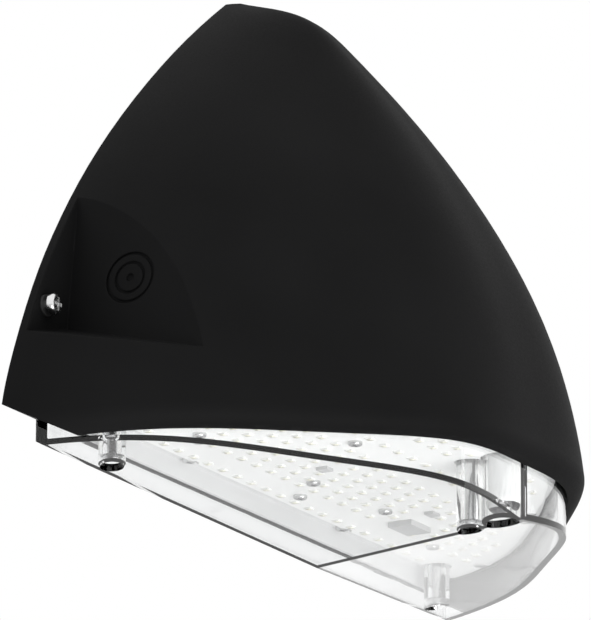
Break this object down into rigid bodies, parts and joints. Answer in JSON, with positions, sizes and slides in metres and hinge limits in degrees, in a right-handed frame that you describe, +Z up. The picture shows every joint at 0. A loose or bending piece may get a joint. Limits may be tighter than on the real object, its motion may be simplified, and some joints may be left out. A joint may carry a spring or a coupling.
{
  "type": "wall pack light",
  "caption": "Wall pack light: a black cast dome with a pointed arch on the wall, a clear faceted lens below, side fixing screws and a hinged wall plate.",
  "frame": {"origin": "centre of the junction box hole circle, in the wall plane", "axes": "+Z up, -Y out of the wall, +X along the wall"},
  "size_m": [0.3364, 0.1386, 0.2352],
  "materials": {
    "black_casting": "die-cast, satin black powder coat",
    "black_rubber": "moulded",
    "block_plastic": "moulded",
    "brass": "plain",
    "chip": "grey moulded",
    "clear_lens": "clear moulded lens",
    "dark_plastic": "moulded",
    "dark_sensor": "dark sensor window",
    "driver_case": "pale coated case",
    "foam": "closed-cell foam",
    "green_steel": "green screw",
    "lead_jacket": "wire jacket",
    "led": "pale yellow phosphor",
    "plate_steel": "galvanised sheet",
    "steel": "plain stainless",
    "surge_case": "moulded",
    "white_board": "white solder mask",
    "white_tray": "gloss white"
  },
  "bodies": {
    "wall_plate": {"back_plate": "plate_steel", "wall_gasket": "foam", "hinge_pins": "steel", "wire_bushing": "black_rubber", "ground_screw": "green_steel"},
    "head": {"housing": "black_casting", "lens": "clear_lens", "lens_gasket": "foam", "lens_screws": "steel", "lens_washers": "steel", "sensor": "dark_sensor", "sensor_nut": "dark_plastic", "tray": "white_tray", "tray_screws": "steel", "led_board": "white_board", "board_screws": "steel", "leds": "led", "board_chips": "chip", "driver": "driver_case", "driver_screws": "steel", "surge_protector": "surge_case", "surge_screws": "steel", "terminal_block": "block_plastic", "terminal_block_screws": "steel", "terminal_screws": "brass", "output_leads": "lead_jacket", "input_leads": "lead_jacket", "lead_grommet": "black_rubber", "conduit_plug_left": "black_casting", "conduit_plug_right": "black_casting", "screw_retainers": "dark_plastic"},
    "screw_left": {"side_screw_left": "steel"},
    "screw_right": {"side_screw_right": "steel"}
  },
  "joints": [
    {"name": "head_swing", "type": "hinge", "parent": "wall_plate", "child": "head", "pos_m": [0, -0.0055, -0.075], "axis": [1, 0, 0], "range_deg": [0, 35]},
    {"name": "left_screw_slide", "type": "slide", "parent": "head", "child": "screw_left", "axis": [0, 1, 0], "range_m": [0, 0.002]},
    {"name": "right_screw_slide", "type": "slide", "parent": "head", "child": "screw_right", "axis": [0, 1, 0], "range_m": [0, 0.002]}
  ]
}
